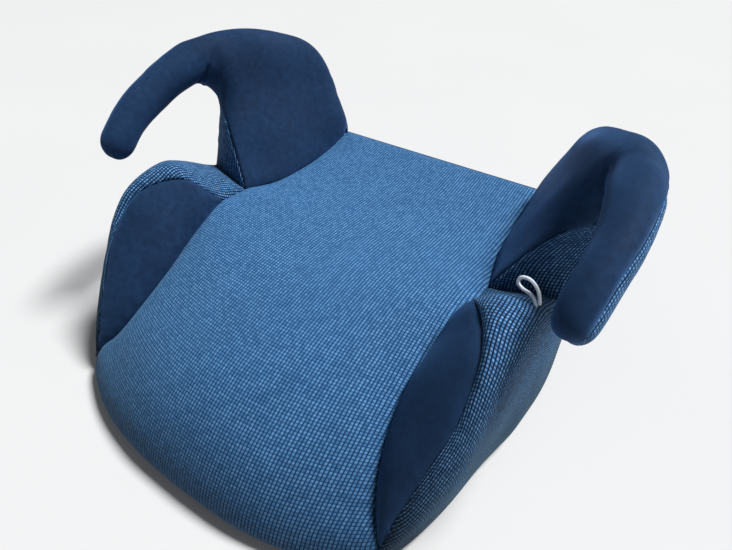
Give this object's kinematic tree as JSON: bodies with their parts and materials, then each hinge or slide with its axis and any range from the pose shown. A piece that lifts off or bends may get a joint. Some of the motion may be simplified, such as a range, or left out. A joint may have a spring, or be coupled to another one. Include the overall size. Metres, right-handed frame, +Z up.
{
  "type": "booster seat",
  "caption": "Backless child booster seat: a fabric-covered foam block with raised front bolsters and two hooked armrests that guide a lap belt.",
  "frame": {"origin": "middle of the footprint on the floor, at the bottom centre of the bounding box", "axes": "+Z up; the seat faces -Y, with its back edge at +Y; +X is towards the sitter's left armrest"},
  "size_m": [0.4618, 0.3916, 0.2338],
  "materials": {
    "seat_check": "woven mini-check, light blue squares between navy lines",
    "side_check": "the same woven mini-check on the sides, gussets and armrest outsides",
    "navy_knit": "smooth brushed navy knit",
    "foam": "white expanded polystyrene bead foam",
    "wadding": "white polyester wadding",
    "bar_steel": "drawn steel bar",
    "hem_elastic": "black elasticated hem tape",
    "loop_elastic": "white elastic cord"
  },
  "bodies": {
    "root": {"back_panel": "side_check", "foam_block": "foam", "hem": "hem_elastic", "left_armrest_core": "foam", "left_armrest_inner_cover": "navy_knit", "left_armrest_outer_cover": "side_check", "left_bolster_inset": "navy_knit", "left_side_panel": "side_check", "left_throat_gusset": "side_check", "loop": "loop_elastic", "reinforcement_bar": "bar_steel", "right_armrest_core": "foam", "right_armrest_inner_cover": "navy_knit", "right_armrest_outer_cover": "side_check", "right_bolster_inset": "navy_knit", "right_side_panel": "side_check", "right_throat_gusset": "side_check", "seat_pad": "wadding", "seat_panel": "seat_check"}
  },
  "joints": []
}
